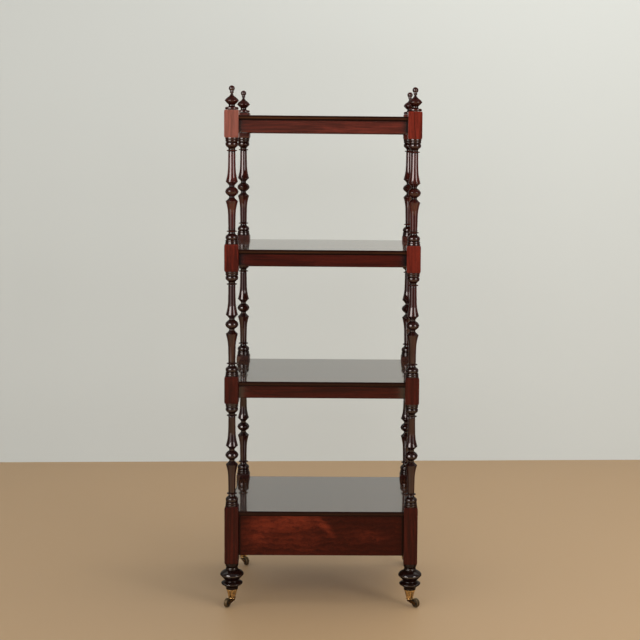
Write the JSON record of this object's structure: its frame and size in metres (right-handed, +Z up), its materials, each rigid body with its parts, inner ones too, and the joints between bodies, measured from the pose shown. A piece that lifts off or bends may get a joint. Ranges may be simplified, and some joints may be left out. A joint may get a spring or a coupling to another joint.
{
  "type": "etagere",
  "caption": "Tiered mahogany etagere: open shelves on turned posts with finials, a deep drawer under the lowest shelf, and ringed feet on brass swivel casters.",
  "frame": {"origin": "on the floor, under the middle of the etagere", "axes": "+Z up, -Y to the front where the drawer opens, +X to the right seen from the front"},
  "size_m": [0.535, 0.4197, 1.3776],
  "materials": {
    "post_mahogany": "french polished",
    "rail_mahogany": "french polished",
    "polished_shelf": "high polish",
    "flame_veneer": "french polished crotch veneer",
    "blackened_foot": "dark stained and polished",
    "drawer_wood": "bare pine, aged",
    "caster_brass": "aged brass",
    "wheel_bronze": "dull brown brass"
  },
  "bodies": {
    "carcass": {"post_fl": "post_mahogany", "post_fr": "post_mahogany", "post_bl": "post_mahogany", "post_br": "post_mahogany", "finial_fl": "post_mahogany", "finial_fr": "post_mahogany", "finial_bl": "post_mahogany", "finial_br": "post_mahogany", "foot_fl": "blackened_foot", "foot_fr": "blackened_foot", "foot_bl": "blackened_foot", "foot_br": "blackened_foot", "caster_socket_fl": "caster_brass", "caster_socket_fr": "caster_brass", "caster_socket_bl": "caster_brass", "caster_socket_br": "caster_brass", "shelf_1": "polished_shelf", "shelf_2": "polished_shelf", "shelf_3": "polished_shelf", "shelf_4": "polished_shelf", "rail_front_1": "rail_mahogany", "rail_right_1": "rail_mahogany", "rail_back_1": "rail_mahogany", "rail_left_1": "rail_mahogany", "rail_front_2": "rail_mahogany", "rail_right_2": "rail_mahogany", "rail_back_2": "rail_mahogany", "rail_left_2": "rail_mahogany", "rail_front_3": "rail_mahogany", "rail_right_3": "rail_mahogany", "rail_back_3": "rail_mahogany", "rail_left_3": "rail_mahogany", "apron_right": "rail_mahogany", "apron_back": "rail_mahogany", "apron_left": "rail_mahogany", "bearer": "drawer_wood", "runner_left": "drawer_wood", "runner_right": "drawer_wood", "guide_left": "drawer_wood", "guide_right": "drawer_wood"},
    "drawer": {"drawer_front": "flame_veneer", "drawer_side_left": "drawer_wood", "drawer_side_right": "drawer_wood", "drawer_back": "drawer_wood", "drawer_bottom": "drawer_wood"},
    "caster_fl": {"caster_horn_fl": "caster_brass", "caster_axle_fl": "caster_brass"},
    "caster_fr": {"caster_horn_fr": "caster_brass", "caster_axle_fr": "caster_brass"},
    "caster_bl": {"caster_horn_bl": "caster_brass", "caster_axle_bl": "caster_brass"},
    "caster_br": {"caster_horn_br": "caster_brass", "caster_axle_br": "caster_brass"},
    "wheel_fl": {"caster_wheel_fl": "wheel_bronze"},
    "wheel_fr": {"caster_wheel_fr": "wheel_bronze"},
    "wheel_bl": {"caster_wheel_bl": "wheel_bronze"},
    "wheel_br": {"caster_wheel_br": "wheel_bronze"}
  },
  "joints": [
    {"name": "drawer_slide", "type": "slide", "parent": "carcass", "child": "drawer", "axis": [0, -1, 0], "range_m": [0, 0.28]},
    {"name": "swivel_fl", "type": "hinge", "parent": "carcass", "child": "caster_fl", "pos_m": [-0.2373, -0.1795, 0.02], "axis": [0, 0, 1], "continuous": true},
    {"name": "swivel_fr", "type": "hinge", "parent": "carcass", "child": "caster_fr", "pos_m": [0.2373, -0.1795, 0.02], "axis": [0, 0, 1], "continuous": true},
    {"name": "swivel_bl", "type": "hinge", "parent": "carcass", "child": "caster_bl", "pos_m": [-0.2373, 0.1795, 0.02], "axis": [0, 0, 1], "continuous": true},
    {"name": "swivel_br", "type": "hinge", "parent": "carcass", "child": "caster_br", "pos_m": [0.2373, 0.1795, 0.02], "axis": [0, 0, 1], "continuous": true},
    {"name": "spin_fl", "type": "hinge", "parent": "caster_fl", "child": "wheel_fl", "pos_m": [-0.24765, -0.19818, 0.01228], "axis": [0.8746, -0.4848, 0], "continuous": true},
    {"name": "spin_fr", "type": "hinge", "parent": "caster_fr", "child": "wheel_fr", "pos_m": [0.25266, -0.19434, 0.01228], "axis": [0.6947, 0.7193, 0], "continuous": true},
    {"name": "spin_bl", "type": "hinge", "parent": "caster_bl", "child": "wheel_bl", "pos_m": [-0.22727, 0.16064, 0.01228], "axis": [0.8829, 0.4695, 0], "continuous": true},
    {"name": "spin_br", "type": "hinge", "parent": "caster_br", "child": "wheel_br", "pos_m": [0.24599, 0.15999, 0.01228], "axis": [0.9135, 0.4067, 0], "continuous": true}
  ]
}
